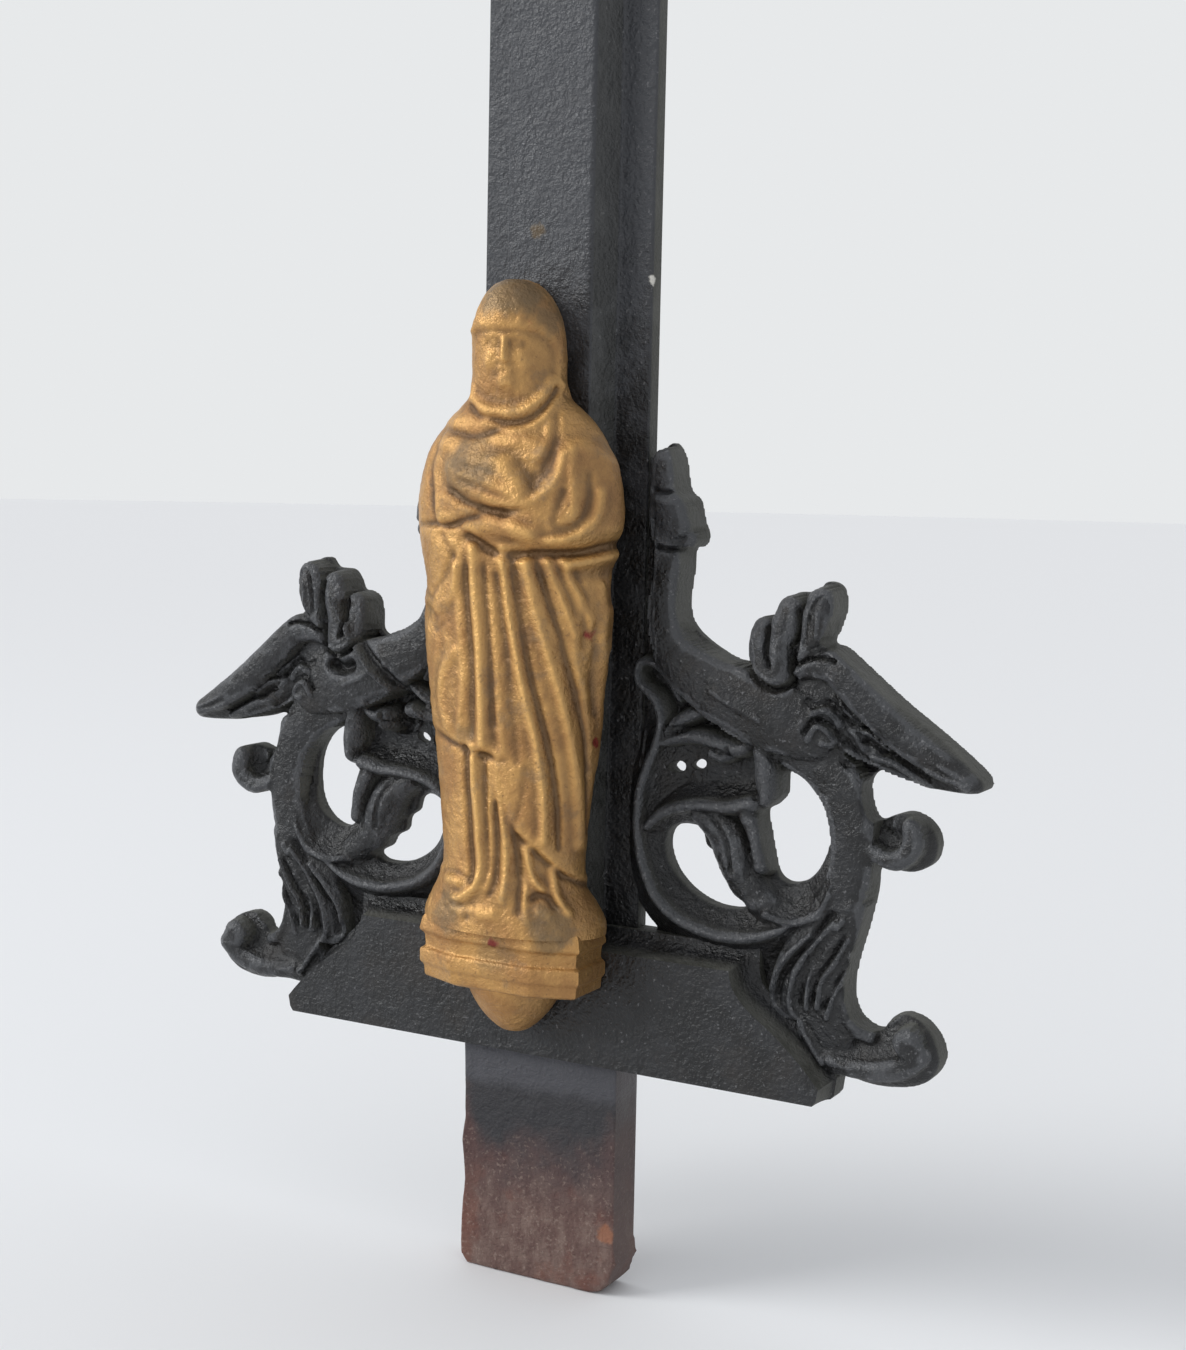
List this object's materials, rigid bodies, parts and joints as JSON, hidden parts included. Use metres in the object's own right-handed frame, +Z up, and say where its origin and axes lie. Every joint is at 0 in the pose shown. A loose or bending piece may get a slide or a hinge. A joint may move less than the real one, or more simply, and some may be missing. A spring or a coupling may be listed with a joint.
{
  "type": "iron grave cross",
  "caption": "Tall cast-iron grave cross with winged bird scrolls beside a moulded base, a gilded veiled figure on a corbel at its foot, and a tang for setting in stone.",
  "frame": {"origin": "middle of the flat foot of the tang that is set in the stone", "axes": "+Z up the shaft, +X to the right arm seen from the front, -Y out of the front face, +Y towards the flat back"},
  "size_m": [0.52, 0.0489, 1.06],
  "materials": {
    "black_paint": "worn black oil paint over rough cast iron, rusting to brown on the bare tang",
    "gilding": "old gold paint over cast metal, dulled brown in the hollows"
  },
  "bodies": {
    "root": {"cross_casting": "black_paint", "virgin_figure": "gilding"}
  },
  "joints": []
}
